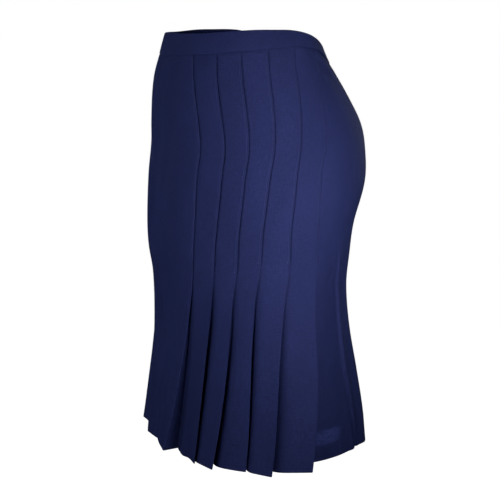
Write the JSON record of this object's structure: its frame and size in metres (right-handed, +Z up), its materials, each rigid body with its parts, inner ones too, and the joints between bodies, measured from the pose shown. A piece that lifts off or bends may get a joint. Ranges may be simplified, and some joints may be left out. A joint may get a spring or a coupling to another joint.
{
  "type": "pleated skirt",
  "caption": "Knee-length fitted skirt: plain waistband, stitched-down knife pleats across the front that open below the hip, and a plain flared back.",
  "frame": {"origin": "middle of the waist opening at the height of the band's upper edge", "axes": "+Z up; the skirt's front looks towards -Y; the wearer's left side is +X"},
  "size_m": [0.3789, 0.3095, 0.5714],
  "materials": {
    "cloth": "plain woven, matt with a faint sheen"
  },
  "bodies": {
    "root": {"waistband": "cloth", "front": "cloth", "back_left": "cloth", "back_right": "cloth"}
  },
  "joints": []
}
